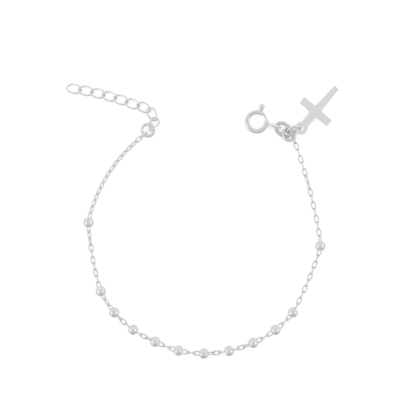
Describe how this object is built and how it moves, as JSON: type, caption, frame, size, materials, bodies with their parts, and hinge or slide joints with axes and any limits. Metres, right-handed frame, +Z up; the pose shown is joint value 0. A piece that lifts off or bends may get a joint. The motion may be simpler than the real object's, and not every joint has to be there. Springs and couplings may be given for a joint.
{
  "type": "rosary bracelet",
  "caption": "fine silver rosary bracelet: cable chain with small faceted beads, curb extender, bolt ring clasp and a flat cross, lying open",
  "frame": {"origin": "on the surface the bracelet lies on, below the middle of its bounding box", "axes": "+Z up, away from the surface; +X to the clasp's side; +Y from the beads' bottom arc to the two ends"},
  "size_m": [0.0718, 0.0723, 0.0041],
  "materials": {
    "silver_beads": "diamond-cut polished sterling silver",
    "silver_chain": "polished sterling silver wire",
    "silver_extender": "polished sterling silver wire",
    "silver_rings": "polished sterling silver wire",
    "silver_clasp": "polished sterling silver tube",
    "silver_cross": "polished flat sterling silver plate"
  },
  "bodies": {
    "bracelet": {"bead_01": "silver_beads", "bead_02": "silver_beads", "bead_03": "silver_beads", "bead_04": "silver_beads", "bead_05": "silver_beads", "bead_06": "silver_beads", "bead_07": "silver_beads", "bead_08": "silver_beads", "bead_09": "silver_beads", "bead_10": "silver_beads", "bead_11": "silver_beads", "bead_12": "silver_beads", "fine_chain_left": "silver_chain", "fine_chain_right": "silver_chain", "extender_link_1": "silver_extender", "extender_link_2": "silver_extender", "extender_link_3": "silver_extender", "extender_link_4": "silver_extender", "extender_link_5": "silver_extender", "extender_link_6": "silver_extender", "extender_link_7": "silver_extender", "extender_link_8": "silver_extender", "extender_link_9": "silver_extender", "joining_ring": "silver_rings", "oval_link": "silver_rings", "end_ring": "silver_rings", "cross_ring": "silver_rings", "clasp_ring": "silver_clasp", "cross": "silver_cross"},
    "bolt": {"clasp_bolt": "silver_clasp"}
  },
  "joints": [
    {"name": "bolt_slide", "type": "hinge", "parent": "bracelet", "child": "bolt", "pos_m": [0.01424, 0.0261, 0.00085], "axis": [-0.1131, 0.0271, 0.9932], "range_deg": [0, 52], "stiffness_Nm_per_rad": 0.001, "springref_deg": -34.38}
  ]
}
